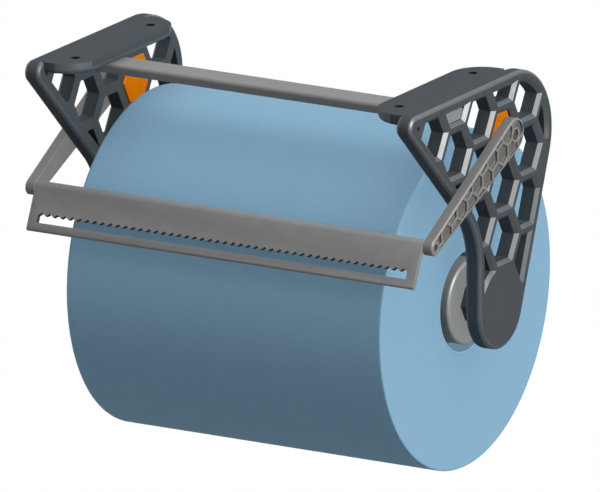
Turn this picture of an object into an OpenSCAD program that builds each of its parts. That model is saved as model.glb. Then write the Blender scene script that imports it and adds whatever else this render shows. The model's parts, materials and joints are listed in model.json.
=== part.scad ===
/* [Mounting] */
// Distance from a bracket's inner face in to its shelf screws
screw_inset = 10.3; // [6:0.1:14]
// Distance between the front and back rows of shelf screws
screw_span_y = 81.7; // [70:0.1:88]
// Diameter of a shelf screw hole
screw_hole_d = 5.2; // [3.5:0.1:6]

/* [Bracket plate] */
// Gap between the roll's end and a bracket's inner face
roll_side_gap = 13.2; // [12:0.1:18]
// Thickness of a bracket plate
plate_t = 9.7; // [8.5:0.1:10.5]
// Radius of the rounding along both outer edges of a plate
plate_edge_r = 2; // [0.6:0.1:2.5]
// Y of the centre of the small front corner
front_y = -56.6; // [-60:0.1:-52]
// Radius of the small front corner
front_r = 6.4; // [4:0.1:9]
// Y of the centre of the large rear corner
rear_y = 55.3; // [50:0.1:60]
// Radius of the large rear corner
rear_r = 40; // [36:0.5:44]
// Radius of the round lobe at the foot of a plate
lobe_r = 24.2; // [22:0.1:25.5]
// Radius of the hollow front curve above the lobe
hollow_r = 49; // [44:0.5:54]
// Angle of the slanted front edge below level
front_slope = 43.8; // [42:0.1:45]
// Width of the solid border round the honeycomb
border_w = 4.7; // [3.8:0.1:5.5]
// Diameter of the pilot hole in the front corner
pilot_d = 2.8; // [1.5:0.1:4]
// Distance of the pilot hole behind the middle of the front corner
pilot_back = 2; // [0:0.1:3]
// Distance of the pilot hole below the middle of the front corner
pilot_down = 0.6; // [0:0.1:2]

/* [Mounting flange] */
// Thickness of the mounting flange
flange_t = 6.5; // [4:0.1:6.6]
// Rounding of a flange's lower edge
flange_edge_r = 3; // [1:0.1:3.4]
// How far a flange reaches in from the plate's inner face
flange_w = 22.1; // [19:0.1:26]
// Half the length of a flange, front to back
flange_half_y = 57.4; // [52:0.1:60]
// Radius of a flange's two inner corners
flange_corner_r = 18.8; // [8:0.1:18.9]

/* [Honeycomb] */
// Distance between the centres of neighbouring cells
cell_pitch = 30.36; // [29.6:0.02:31]
// Width of the flat land between two cells on the outer face
cell_land = 2.6; // [2:0.1:3.6]
// Depth and width of the bevel round each cell
cell_bevel = 2; // [1:0.1:2.2]
// Depth and width of the bevel along the solid border
border_bevel = 1.9; // [0.9:0.1:2.1]

/* [Arm pivot] */
// Y of the pivot cell, from which all the cells are counted
pivot_y = 41.8; // [40:0.1:43]
// Distance from the shelf down to the pivot cell's middle
pivot_drop = 31.9; // [31:0.1:33]

/* [Roll axis] */
// Y of the roll's axis
axis_y = 38.6; // [36:0.1:42]
// Distance from the shelf down to the roll's axis
axis_drop = 130; // [126:0.5:136]

/* [Paper roll] */
// Diameter of the full roll
roll_d = 190; // [150:1:192]
// Width of the roll
roll_w = 200; // [190:1:204]
// Inner diameter of the core tube
core_d = 56.8; // [54:0.1:60]
// Wall of the core tube
core_wall = 1.5; // [0.8:0.1:3]

/* [Hub] */
// Diameter of a hub's visible end
hub_d = 48.2; // [44:0.1:50]
// Diameter of a hub's seat for the core ring
hub_seat_d = 40; // [32:0.5:43]
// Length of a hub
hub_len = 28; // [27.5:0.5:34]
// How far a hub stands out of the roll's end
hub_proud = 3; // [1:0.1:5]
// Rounding of a hub's outer rim
hub_edge_r = 1.9; // [0.5:0.1:2.5]
// Width across the flats of the peg that carries a hub
peg_flats = 19; // [14:0.1:22]
// Depth of the peg in its hub
peg_depth = 12; // [8:0.5:14]
// Gap between a peg and its hub, all round
peg_gap = 0.15; // [0.05:0.05:0.4]
// Width of a core ring
ring_w = 10; // [6:0.5:11]
// Distance from the roll's end to its core ring
ring_inset = 14; // [12:0.5:15]

/* [Hub screw] */
// Shank diameter of a hub screw
hub_screw_d = 4; // [3:0.1:5]
// Head diameter of a hub screw
hub_head_d = 8; // [7:0.1:9]
// Head height of a hub screw
hub_head_h = 2.8; // [2:0.1:3.5]
// Thickness of the wall between a hub screw's head and the peg
hub_web = 7; // [5:0.5:9]
// Length of a hub screw's shank
hub_screw_len = 14; // [13:0.5:16]
// Diameter of a hub screw's washer
hub_washer_d = 9; // [8.5:0.1:10]
// Thickness of a hub screw's washer
hub_washer_t = 0.8; // [0.5:0.1:1.2]
// Outer diameter of the threaded insert in a peg
hub_insert_d = 5.8; // [5.6:0.1:7]
// Length of the threaded insert in a peg
hub_insert_len = 8; // [5:0.5:10]

/* [Crossbar] */
// Gap between the crossbar and the sides and foot of the cell that holds it
bar_gap = 0.15; // [0.1:0.05:0.8]
// Gap between the crossbar's top and the border above it
bar_top_gap = 0.4; // [0.15:0.05:0.8]
// Rounding of the crossbar's two top edges
bar_edge_r = 1.7; // [0.5:0.1:2.2]
// How far a crossbar's end stops short of the plate's outer face
bar_recess = 2.1; // [1:0.1:3]

/* [Pivot plug] */
// Gap between a plug and its cell, all round
plug_gap = 0.1; // [0.05:0.05:0.3]
// Width across the flats of a plug's flange
plug_flange_flats = 25.4; // [24.8:0.1:27.5]
// Thickness of a plug's flange
plug_flange_t = 1.4; // [1.2:0.1:4]
// Bevel round a plug's flange
plug_flange_bevel = 0.5; // [0.2:0.1:1]
// How far a plug's end stops short of the plate's outer face
plug_recess = 2.3; // [2:0.1:3]
// Bevel round a plug's end
plug_bevel = 1.2; // [0.4:0.1:2]

/* [Swing arm] */
// Length of an arm between its two pivots
arm_len = 98.5; // [96:0.5:99]
// Gap between the roll and the cutter's round top, at rest
cutter_roll_gap = 3.04; // [2.4:0.01:4.6]
// Thickness of an arm
arm_t = 6.1; // [5:0.1:8]
// Gap between an arm and its bracket
arm_gap = 0.6; // [0.3:0.1:1]
// Radius of an arm's wide end
arm_wide_r = 9.4; // [8:0.1:11]
// Radius of an arm's narrow end, and distance from its pivot to the cutter's front
arm_tip_r = 4.6; // [4.2:0.1:4.8]
// Width of the rim round an arm's pockets
arm_rim = 1.2; // [0.8:0.1:2]
// Depth of an arm's pockets
pocket_depth = 1.6; // [0.6:0.1:2.2]
// Distance between the centres of neighbouring pockets
pocket_pitch = 11.4; // [10.6:0.1:12.2]
// Width of the rib between two pockets
pocket_rib = 1.75; // [1:0.05:2.5]
// Outer diameter of the boss round a pivot screw
pivot_boss_d = 8.9; // [8:0.1:10]
// Outer diameter of the boss round a cutter screw
tip_boss_d = 7.2; // [6.4:0.1:8]

/* [Arm screws] */
// Shank diameter of a pivot screw
pivot_d = 3; // [2.5:0.1:3.4]
// Head diameter of a pivot screw
pivot_head_d = 5.7; // [4.6:0.1:6]
// Head height of a pivot screw
pivot_head_h = 1.5; // [1:0.1:1.6]
// Length of a pivot screw's shank
pivot_len = 12; // [10:0.5:12]
// Outer diameter of the threaded insert in a plug
pivot_insert_d = 4.6; // [4.4:0.1:5.5]
// Length of the threaded insert in a plug
pivot_insert_len = 5; // [4:0.5:6]
// Outer diameter of the spacer behind an arm
spacer_d = 9; // [7:0.1:12]
// Shank diameter of a cutter screw
tip_d = 2; // [1.6:0.1:2.2]
// Head diameter of a cutter screw
tip_head_d = 3.8; // [3.2:0.1:4]
// Head height of a cutter screw
tip_head_h = 1.3; // [1:0.1:1.6]
// Length of a cutter screw's shank
tip_len = 10; // [8:0.5:12]
// Depth that a screw's head lies below the arm's face
head_sink = 0.8; // [0.4:0.1:1.2]
// Clearance round a screw's head, on the radius
head_play = 0.15; // [0.1:0.01:0.3]
// Running clearance of every turning joint, on the radius
run_play = 0.08; // [0.03:0.01:0.1]
// Running clearance of every turning joint, along its axis
side_play = 0.3; // [0.2:0.05:0.4]
// Clearance of a screw in its thread or plain hole, on the radius
thread_play = 0.05; // [0.02:0.01:0.1]

/* [Cutter] */
// Gap between a cutter's end and an arm
cutter_gap = 0.35; // [0.3:0.05:0.8]
// Radius of the cutter's round top
cutter_top_r = 3.8; // [3.6:0.1:4.4]
// Thickness of the cutter plate
cutter_t = 3.1; // [2.4:0.1:3.5]
// Length of the cutter plate below its pivot
cutter_drop = 25; // [24:0.5:28]
// Angle of the cutter plate from upright
cutter_lean = 24.4; // [20:0.1:30]
// Distance from the cutter's pivot down to the notches' roots
slot_top = 14.1; // [12:0.1:14.8]
// Height of a tooth
tooth_h = 1.8; // [1:0.1:2]
// Number of notches along the slot
notches = 48; // [30:1:60]
// Width of the open slot below the teeth
slot_h = 4.1; // [3:0.1:4.6]
// Distance from the slot's end to the cutter's end
slot_end = 5.6; // [4:0.1:10]

/* [Hidden] */
$fn = 96;
over = 1;
plate_inner_x = roll_w / 2 + roll_side_gap;
plate_outer_x = plate_inner_x + plate_t;
cell_out = cell_pitch - cell_land;
cell_in = cell_out - 2 * cell_bevel;
column = cell_pitch * sqrt(3) / 2;
pivot_insert_x = plate_outer_x - plug_recess - pivot_insert_len;

// Neighbouring edges of a plate cross by this much, so that they meet cleanly
blend = 0.05;
// The border's faces lie this little below the faces of the plate's core
flush = 0.02;

// Points [y, z] of a plate; upright() stands a flat drawing of them up
roll_c = [axis_y, -axis_drop];
front_c = [front_y, -front_r - blend];
rear_c = [rear_y, -rear_r - blend];
neck_y = axis_y - lobe_r + blend;

// The slanted front edge runs from the front corner to the hollow curve
front_out = [-sin(front_slope), -cos(front_slope)];
front_line = front_r - blend;
hollow_y = neck_y - hollow_r;
hollow_fall = (front_line + hollow_r + (hollow_y - front_y) * sin(front_slope)) / cos(front_slope);
hollow_c = [hollow_y, front_c[1] - hollow_fall];

// The straight rear edge runs from the rear corner to the lobe
rear_gap = roll_c - rear_c;
rear_slope = atan2(rear_gap[1], rear_gap[0]) - asin((rear_r - lobe_r) / norm(rear_gap));
rear_out = [-sin(rear_slope), cos(rear_slope)];

pilot_c = front_c + [pilot_back, -pilot_down];

// The arms swing about the middle of the cell that holds the plug
pivot_c = [pivot_y, -pivot_drop];
bar_c = pivot_c + [-2 * column, cell_pitch];
disc_r = lobe_r - border_bevel;

// Column and row steps of the cells, counted from the pivot cell
cells = [
    [-3, 0.5],
    [-2, 1], [-2, 0], [-2, -1],
    [-1, 0.5], [-1, -0.5], [-1, -1.5], [-1, -2.5],
    [0, 1], [0, 0], [0, -1], [0, -2],
    [1, 0.5], [1, -0.5], [1, -1.5], [1, -2.5],
    [2, 0]
];

hub_face_x = roll_w / 2 + hub_proud;
hub_back_x = hub_face_x - hub_len;
peg_end_x = hub_face_x - peg_depth;
hub_web_x = peg_end_x - hub_web;
ring_x = roll_w / 2 - ring_inset - ring_w;
hub_step_x = ring_x + ring_w + side_play;

arm_x = plate_outer_x + arm_gap;
arm_face_x = arm_x + arm_t;

// At rest the arms lie at the angle where the cutter just clears the roll
to_roll = pivot_c - roll_c;
reach = roll_d / 2 + 2 * cutter_top_r - arm_tip_r + cutter_roll_gap;
arm_spread = acos((arm_len ^ 2 + to_roll * to_roll - reach ^ 2) / (2 * arm_len * norm(to_roll)));
arm_angle = atan2(to_roll[1], to_roll[0]) - arm_spread;
tip_c = pivot_c - arm_len * [cos(arm_angle), sin(arm_angle)];

arm_side = acos((arm_wide_r - arm_tip_r) / arm_len);
pocket_flats = pocket_pitch - pocket_rib;
pocket_c = [-13.9, -7.6];
pocket_turn = 1.5;
head_x = arm_face_x - head_sink;

cutter_half = arm_x - cutter_gap;
slot_half = cutter_half - slot_end;
notch_w = 2 * slot_half / notches;
slot_tip = slot_top + tooth_h;
slot_foot = slot_tip + slot_h;

// Stands a flat drawing of [y, z] points up, with its height along +X
module upright(x = 0) {
    translate([x, 0, 0])
        rotate([90, 0, 90])
            children();
}

// A round piece along +X, starting at x
module round_x(c, x, d, len) {
    translate([x, c[0], c[1]])
        rotate([0, 90, 0])
            cylinder(d = d, h = len);
}

// A flat-topped hexagon by its width across the flats
module hexagon(flats) {
    circle(d = flats / cos(30), $fn = 6);
}

// The left side's pieces are the right side's, mirrored
module mirrored() {
    mirror([1, 0, 0])
        children();
}

module both_sides() {
    children();
    mirrored()
        children();
}

// Points along an arc, in even steps
function arc(c, r, start, turn) =
    [for (i = [0 : 12]) c + r * [cos(start + turn * i / 12), sin(start + turn * i / 12)]];

// Body of a plate inside its edges, drawn a little way into them
module plate_core(inside) {
    polygon(concat(
        arc(front_c, front_r - inside, 90, 180 - front_slope),
        arc(hollow_c, hollow_r + inside, 90 - front_slope, front_slope - 90),
        arc(roll_c, lobe_r - inside, 180, rear_slope + 270),
        arc(rear_c, rear_r - inside, rear_slope + 90, -rear_slope)
    ));
}

// Runs a profile along a straight edge, its x pointing out of the plate
module run_line(from, to) {
    step = to - from;
    translate([from[0], from[1], 0])
        rotate([0, 0, atan2(step[1], step[0])])
            rotate([90, 0, 90])
                linear_extrude(norm(step))
                    children();
}

// Runs a profile round a circle, its x pointing away from the centre
module run_arc(c, r, start, turn) {
    translate([c[0], c[1], 0])
        rotate([0, 0, start])
            rotate_extrude(angle = turn)
                translate([r, 0])
                    children();
}

// Rounded outer edge of a plate's section, in short chords
function round_edge(base, top) = concat(
    [for (i = [0 : 3]) [-plate_edge_r, top - plate_edge_r]
        + plate_edge_r * [sin(30 * i), cos(30 * i)]],
    [for (i = [0 : 3]) [-plate_edge_r, base + plate_edge_r]
        + plate_edge_r * [cos(30 * i), -sin(30 * i)]]
);

// Section through a plate's rounded edge, of a given width
module edge_section(width) {
    polygon(concat([[-width, flush], [-width, plate_t - flush]],
                   round_edge(flush, plate_t - flush)));
}

// Section through the solid border, with its bevel on the outer face
module border_section() {
    wide = border_w + border_bevel;
    polygon(concat([[-wide, flush], [-wide, plate_t - border_bevel], [-border_w, plate_t - flush]],
                   round_edge(flush, plate_t - flush)));
}

// A flat-topped hexagonal prism that changes width along its last stretch
module hex_block(flats, end_flats, bevel, len) {
    wide = max(flats, end_flats);
    intersection_for (turn = [30, 90, 150])
        rotate([90, 0, turn])
            translate([0, 0, -wide])
                linear_extrude(2 * wide)
                    polygon([[-flats / 2, 0], [flats / 2, 0], [flats / 2, len - bevel],
                             [end_flats / 2, len], [-end_flats / 2, len],
                             [-flats / 2, len - bevel]]);
}

// Each cell runs through the plate and leaves the disc under the hub solid
module honeycomb() {
    rise = cell_land / 5;
    difference() {
        union()
            for (cell = cells)
                translate([pivot_c[0] + cell[0] * column, pivot_c[1] + cell[1] * cell_pitch, -over])
                    hex_block(cell_in, cell_out + 2 * rise, cell_bevel + rise, plate_t + over + rise);
        translate([roll_c[0], roll_c[1], 0])
            rotate_extrude()
                polygon([[0, -2 * over], [lobe_r, -2 * over], [lobe_r, plate_t - border_bevel],
                         [disc_r - over, plate_t + over], [0, plate_t + over]]);
    }
}

// How far past its straight neighbour a round corner runs, in degrees
function past(r) = 1.6 * acos(1 - blend / r);

// The border closes the cells that reach the plate's edges
module plate() {
    stretch = 2 * sqrt(2 * hollow_r * blend);
    front_run = [cos(front_slope), -sin(front_slope)];
    difference() {
        linear_extrude(plate_t)
            plate_core(plate_edge_r + over / 2);
        honeycomb();
    }
    run_line([front_y, 0], [rear_y, 0])
        border_section();
    run_line(hollow_c - hollow_r * front_out + stretch * front_run, front_c + front_line * front_out)
        border_section();
    run_line([neck_y, roll_c[1]], [neck_y, hollow_c[1] + stretch])
        border_section();
    run_line(rear_c + (rear_r - blend) * rear_out, roll_c + (lobe_r - blend) * rear_out)
        border_section();
    run_arc(hollow_c, hollow_r + blend, 0, 90 - front_slope)
        mirror([1, 0])
            border_section();
    run_arc(rear_c, rear_r, rear_slope + 90 - past(rear_r), 2 * past(rear_r) - rear_slope)
        border_section();
    run_arc(front_c, front_r, 90 - past(front_r), 180 - front_slope + 2 * past(front_r))
        edge_section(plate_edge_r + over);
    run_arc(roll_c, lobe_r, 180 - past(lobe_r), rear_slope + 270 + 2 * past(lobe_r))
        edge_section(plate_edge_r + over);
}

// Section through a flange, its lower edge rounded in short chords
module flange_section(width) {
    polygon(concat([[-width, -flange_t], [-width, 0], [0, 0]],
                   [for (i = [0 : 3]) [-flange_edge_r, flange_edge_r - flange_t]
                       + flange_edge_r * [cos(30 * i), -sin(30 * i)]]));
}

// Flat flange along the top, with a hole for a screw at each end; the pilot hole grooves its underside
module flange() {
    inner_x = plate_inner_x - flange_w;
    corner = [inner_x + flange_corner_r, flange_half_y - flange_corner_r];
    difference() {
        union() {
            run_line([inner_x, -corner[1]], [inner_x, corner[1]])
                flange_section(flange_w);
            run_line([plate_inner_x, -flange_half_y], [corner[0], -flange_half_y])
                flange_section(flange_corner_r);
            run_line([corner[0], flange_half_y], [plate_inner_x, flange_half_y])
                flange_section(flange_corner_r);
            run_arc([corner[0], -corner[1]], flange_corner_r, 180, 90)
                flange_section(flange_corner_r);
            run_arc(corner, flange_corner_r, 90, 90)
                flange_section(flange_corner_r);
        }
        for (end = [-1, 1])
            translate([plate_inner_x - screw_inset, end * screw_span_y / 2, -flange_t - over])
                cylinder(d = screw_hole_d, h = flange_t + 2 * over);
        round_x(pilot_c, inner_x - over, pilot_d, flange_w + 2 * over);
    }
    translate([plate_inner_x, front_y, -plate_edge_r])
        cube([plate_edge_r, rear_y - front_y, plate_edge_r]);
}

module bracket() {
    difference() {
        union() {
            upright(plate_inner_x)
                plate();
            upright(peg_end_x)
                translate(roll_c)
                    linear_extrude(plate_inner_x - peg_end_x + over)
                        hexagon(peg_flats);
        }
        round_x(pilot_c, plate_inner_x - over, pilot_d, plate_t + 2 * over);
        round_x(roll_c, peg_end_x - over, hub_insert_d, hub_insert_len + over);
        round_x(roll_c, peg_end_x, hub_screw_d + 2 * thread_play, hub_insert_len + 3);
    }
    flange();
}

module right_bracket() {
    color("#4b5056")
        bracket();
}

module left_bracket() {
    color("#4b5056")
        mirrored()
            bracket();
}

// The bar fills the lower part of a top cell, from bracket to bracket
module crossbar() {
    flats = cell_in - 2 * bar_gap;
    low = bar_c[1] - flats / 2;
    high = -(max(border_w + border_bevel, flange_t) + bar_top_gap);
    low_half = flats / 2 * tan(30);
    high_half = low_half + (high - low) * tan(30);
    round_c = [high_half - bar_edge_r / tan(30), high - bar_edge_r];
    side = round_c + bar_edge_r * [cos(30), -sin(30)];
    half = plate_outer_x - bar_recess;
    color("#77797b")
        upright(-half)
            translate([bar_c[0], 0])
                linear_extrude(2 * half)
                    union() {
                        polygon([[-low_half, low], [low_half, low], side, round_c,
                                 [round_c[0], high], [-round_c[0], high],
                                 [-round_c[0], round_c[1]], [-side[0], side[1]]]);
                        for (end = [-1, 1])
                            translate([end * round_c[0], round_c[1]])
                                circle(bar_edge_r);
                    }
}

// A hexagonal plug in the pivot cell carries the pivot screw
module plug() {
    end_x = plate_outer_x - plug_recess;
    flats = cell_in - 2 * plug_gap;
    difference() {
        upright()
            translate(pivot_c) {
                translate([0, 0, plate_inner_x])
                    mirror([0, 0, 1])
                        hex_block(plug_flange_flats, plug_flange_flats - 2 * plug_flange_bevel,
                                  plug_flange_bevel, plug_flange_t);
                translate([0, 0, plate_inner_x - over])
                    hex_block(flats, flats - 2 * plug_bevel, plug_bevel, end_x - plate_inner_x + over);
            }
        round_x(pivot_c, pivot_insert_x, pivot_insert_d, pivot_insert_len + over);
        round_x(pivot_c, head_x - pivot_head_h - pivot_len - 0.5, pivot_d + 2 * thread_play, pivot_len);
    }
}

module right_pivot_plug() {
    color("#d97800")
        plug();
}

module left_pivot_plug() {
    color("#d97800")
        mirrored()
            plug();
}

// A round sleeve along +X, starting at x
module sleeve(c, x, outer_d, inner_d, len) {
    difference() {
        round_x(c, x, outer_d, len);
        round_x(c, x - over, inner_d, len + 2 * over);
    }
}

module pivot_inserts() {
    color("#b08d3c")
        both_sides()
            sleeve(pivot_c, pivot_insert_x, pivot_insert_d, pivot_d + 2 * thread_play, pivot_insert_len);
}

// A spacer keeps each arm off the recessed plug
module pivot_spacers() {
    start = plate_outer_x - plug_recess;
    color("#a9abad")
        both_sides()
            sleeve(pivot_c, start, spacer_d, pivot_d + 2 * thread_play, arm_x - side_play - start);
}

// A screw with a round head and a hexagonal socket, its head's face at x
module screw(c, x, shank_d, shank_len, head_d, head_h, key) {
    difference() {
        union() {
            round_x(c, x - head_h, head_d, head_h);
            round_x(c, x - head_h - shank_len, shank_d, shank_len + head_h / 2);
        }
        upright(x - head_h / 2)
            translate(c)
                linear_extrude(head_h)
                    hexagon(key);
    }
}

module pivot_screws() {
    color("#8d9093")
        both_sides()
            screw(pivot_c, head_x, pivot_d, pivot_len, pivot_head_d, pivot_head_h, 2);
}

// The hub's narrow seat carries the core ring and its shoulder stops the ring
module hub() {
    step = hub_step_x - hub_back_x;
    difference() {
        upright(hub_back_x)
            translate(roll_c)
                rotate_extrude()
                    union() {
                        square([hub_seat_d / 2, hub_len - over]);
                        translate([0, step])
                            square([hub_d / 2, hub_len - step - hub_edge_r]);
                        translate([0, step])
                            square([hub_d / 2 - hub_edge_r, hub_len - step]);
                        translate([hub_d / 2 - hub_edge_r, hub_len - hub_edge_r])
                            circle(hub_edge_r);
                    }
        upright(peg_end_x)
            translate(roll_c)
                linear_extrude(peg_depth + over)
                    hexagon(peg_flats + 2 * peg_gap);
        round_x(roll_c, hub_back_x - over, hub_washer_d + 1, hub_web_x - hub_back_x + over);
        round_x(roll_c, hub_web_x - over, hub_screw_d + 2 * thread_play, hub_web + 2 * over);
    }
}

module right_hub() {
    color("#7c7e80")
        hub();
}

module left_hub() {
    color("#7c7e80")
        mirrored()
            hub();
}

module hub_inserts() {
    color("#b08d3c")
        both_sides()
            sleeve(roll_c, peg_end_x, hub_insert_d, hub_screw_d + 2 * thread_play, hub_insert_len);
}

module hub_washers() {
    color("#a9abad")
        both_sides()
            sleeve(roll_c, hub_web_x - hub_washer_t, hub_washer_d, hub_screw_d + 2 * thread_play,
                   hub_washer_t);
}

// The hub screws are put in from the middle, so they point outwards
module hub_screws() {
    head = hub_web_x - hub_washer_t - hub_head_h;
    color("#8d9093")
        both_sides()
            mirrored()
                screw(roll_c, -head, hub_screw_d, hub_screw_len, hub_head_d, hub_head_h, 3);
}

module core_ring() {
    sleeve(roll_c, ring_x, core_d, hub_seat_d + 2 * run_play, ring_w);
}

module right_core_ring() {
    color("#55585b")
        core_ring();
}

module left_core_ring() {
    color("#55585b")
        mirrored()
            core_ring();
}

module core_tube() {
    color("#85aecb")
        sleeve(roll_c, -roll_w / 2, core_d + 2 * core_wall, core_d, roll_w);
}

module paper_roll() {
    color("#85aecb")
        sleeve(roll_c, -roll_w / 2, roll_d, core_d + 2 * core_wall, roll_w);
}

// Outline of an arm along +X from its pivot, drawn a little inside its edge
module arm_outline(inside) {
    wide = arm_wide_r - inside;
    tip = arm_tip_r - inside;
    circle(wide);
    translate([arm_len, 0])
        circle(tip);
    polygon([wide * [cos(arm_side), sin(arm_side)], wide * [cos(arm_side), -sin(arm_side)],
             [arm_len, 0] + tip * [cos(arm_side), -sin(arm_side)],
             [arm_len, 0] + tip * [cos(arm_side), sin(arm_side)]]);
}

// Hexagonal pockets, upright on one corner and turned a little
module pockets() {
    rise = pocket_pitch * cos(30);
    away = 180 + arm_angle;
    for (row = [-2 : 5], col = [-10 : 3]) {
        flat = [(col + (row % 2 == 0 ? 0 : 0.5)) * pocket_pitch, -row * rise];
        spot = pocket_c + [flat[0] * cos(pocket_turn) - flat[1] * sin(pocket_turn),
                           flat[0] * sin(pocket_turn) + flat[1] * cos(pocket_turn)];
        along = spot[0] * cos(away) + spot[1] * sin(away);
        across = spot[1] * cos(away) - spot[0] * sin(away);
        if (abs(across) < arm_wide_r + 3 && along > -arm_wide_r && along < arm_len + arm_tip_r)
            translate(spot)
                rotate(30 + pocket_turn)
                    hexagon(pocket_flats);
    }
}

module arm() {
    difference() {
        upright(arm_x)
            translate(pivot_c)
                rotate(180 + arm_angle)
                    linear_extrude(arm_t)
                        arm_outline(0);
        upright(arm_face_x - pocket_depth)
            translate(pivot_c)
                linear_extrude(pocket_depth + over)
                    difference() {
                        intersection() {
                            rotate(180 + arm_angle)
                                arm_outline(arm_rim);
                            pockets();
                        }
                        circle(d = pivot_boss_d);
                        translate(tip_c - pivot_c)
                            circle(d = tip_boss_d);
                    }
        round_x(pivot_c, arm_x - over, pivot_d + 2 * run_play, arm_t + 2 * over);
        round_x(pivot_c, head_x - pivot_head_h - side_play, pivot_head_d + 2 * head_play, arm_t);
        round_x(tip_c, arm_x - over, tip_d + 2 * run_play, arm_t + 2 * over);
        round_x(tip_c, head_x - tip_head_h - side_play, tip_head_d + 2 * head_play, arm_t);
    }
}

module right_arm() {
    color("#6f7173")
        arm();
}

module left_arm() {
    color("#6f7173")
        mirrored()
            arm();
}

// One row of V notches over an open slot; the teeth point down
module slot_outline() {
    polygon([[-slot_half, -slot_foot], [slot_half, -slot_foot],
             for (i = [notches : -1 : 0])
                 each (i == 0 ? [[-slot_half, -slot_tip]]
                     : [[-slot_half + i * notch_w, -slot_tip],
                        [-slot_half + (i - 0.5) * notch_w, -slot_top]])]);
}

module cutter() {
    color("#7c7e80")
        difference() {
            translate([0, tip_c[0], tip_c[1]])
                rotate([-cutter_lean, 0, 0])
                    difference() {
                        union() {
                            translate([0, cutter_top_r - arm_tip_r, 0])
                                rotate([0, 90, 0])
                                    cylinder(r = cutter_top_r, h = 2 * cutter_half, center = true);
                            translate([-cutter_half, -arm_tip_r, cutter_t / 2 - cutter_drop])
                                cube([2 * cutter_half, cutter_t, cutter_drop - cutter_t / 2]);
                            translate([0, cutter_t / 2 - arm_tip_r, cutter_t / 2 - cutter_drop])
                                rotate([0, 90, 0])
                                    cylinder(d = cutter_t, h = 2 * cutter_half, center = true);
                        }
                        translate([0, over - arm_tip_r + cutter_t, 0])
                            rotate([90, 0, 0])
                                linear_extrude(cutter_t + 2 * over)
                                    slot_outline();
                    }
            both_sides()
                round_x(tip_c, head_x - tip_head_h - tip_len - 0.5, tip_d + 2 * thread_play, tip_len);
        }
}

module cutter_screws() {
    color("#8d9093")
        both_sides()
            screw(tip_c, head_x, tip_d, tip_len, tip_head_d, tip_head_h, 1.5);
}

left_bracket();
right_bracket();
crossbar();
left_pivot_plug();
right_pivot_plug();
pivot_inserts();
pivot_spacers();
pivot_screws();
left_hub();
right_hub();
hub_inserts();
hub_washers();
hub_screws();
left_core_ring();
right_core_ring();
core_tube();
paper_roll();
left_arm();
right_arm();
cutter();
cutter_screws();
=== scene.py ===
# %% [markdown]
# # A paper roll holder that hangs under a shelf
# Two honeycomb side plates are screwed up under a shelf. A crossbar ties them together,
# two hubs carry a wide roll of blue wiping paper, and a toothed tear bar hangs in front
# of the roll on two swing arms. The engineering model already gives every piece its true
# size and place, so this script loads it first. Then it gives each piece the soft edges,
# the turned, toothed or wound form and the finish that the real one shows.

# %% Load the engineering model
import json
import math

import bmesh
import bpy
from mathutils import Matrix, Vector


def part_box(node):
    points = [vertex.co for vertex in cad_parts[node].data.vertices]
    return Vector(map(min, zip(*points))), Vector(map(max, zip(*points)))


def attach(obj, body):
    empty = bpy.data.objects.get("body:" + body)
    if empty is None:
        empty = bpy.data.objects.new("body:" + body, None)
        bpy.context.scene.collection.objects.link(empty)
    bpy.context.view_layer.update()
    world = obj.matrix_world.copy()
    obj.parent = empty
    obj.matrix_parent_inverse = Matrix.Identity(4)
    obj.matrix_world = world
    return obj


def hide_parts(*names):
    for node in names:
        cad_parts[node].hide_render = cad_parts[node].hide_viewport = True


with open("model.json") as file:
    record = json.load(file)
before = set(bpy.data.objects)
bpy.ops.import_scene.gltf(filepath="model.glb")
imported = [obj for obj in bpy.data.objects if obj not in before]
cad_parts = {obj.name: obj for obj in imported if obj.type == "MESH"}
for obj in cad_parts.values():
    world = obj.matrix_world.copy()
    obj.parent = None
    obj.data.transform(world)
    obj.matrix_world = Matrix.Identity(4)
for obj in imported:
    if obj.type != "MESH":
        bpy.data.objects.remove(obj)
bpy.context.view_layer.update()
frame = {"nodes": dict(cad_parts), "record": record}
scene = bpy.context.scene
MM = 0.001
print("pieces loaded:", len(frame["nodes"]))

# %% [markdown]
# ## The view
# The picture is a parallel view: edges that are parallel on the holder stay parallel in
# it. An orthographic camera would show exactly that, but it keeps its scale when the
# holder is looked at from other sides, and cuts off its corners there. A very long lens
# far away comes within two and a half pixels of a parallel view and can step back. It
# looks from 30 degrees to the right of the front and 15 degrees above the level, with up
# to half a degree more, which brings its picture closest to the parallel one. The holder
# is about 260 mm wide, and the picture shows 331 mm at the holder's mean depth, which lies
# 29 mm behind the middle of its screw holes. The two slides put it in its place in the
# frame.

# %% Camera
VIEW_TURN = math.radians(30.07)
VIEW_RISE = math.radians(15.4)
VIEW_WIDTH = 331.2 * MM
SLIDE_RIGHT = 14.37 * MM
SLIDE_DOWN = 99.5 * MM
MEAN_DEPTH = -29.3 * MM
LENS = 1400

to_right = Vector((math.cos(VIEW_TURN), math.sin(VIEW_TURN), 0))
to_camera = Vector((
    math.sin(VIEW_TURN) * math.cos(VIEW_RISE),
    -math.cos(VIEW_TURN) * math.cos(VIEW_RISE),
    math.sin(VIEW_RISE),
))
to_top = to_camera.cross(to_right)

lens = bpy.data.cameras.new("studio_camera")
lens.lens = LENS
lens.clip_start = 0.01
lens.clip_end = 20
camera = bpy.data.objects.new("studio_camera", lens)
scene.collection.objects.link(camera)
camera.rotation_mode = "QUATERNION"
camera.rotation_quaternion = to_camera.to_track_quat("Z", "Y")
away = VIEW_WIDTH * LENS / lens.sensor_width + MEAN_DEPTH
camera.location = to_right * SLIDE_RIGHT - to_top * SLIDE_DOWN + to_camera * away
scene.camera = camera
print("the camera stands", round(away, 2), "m away")

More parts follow.
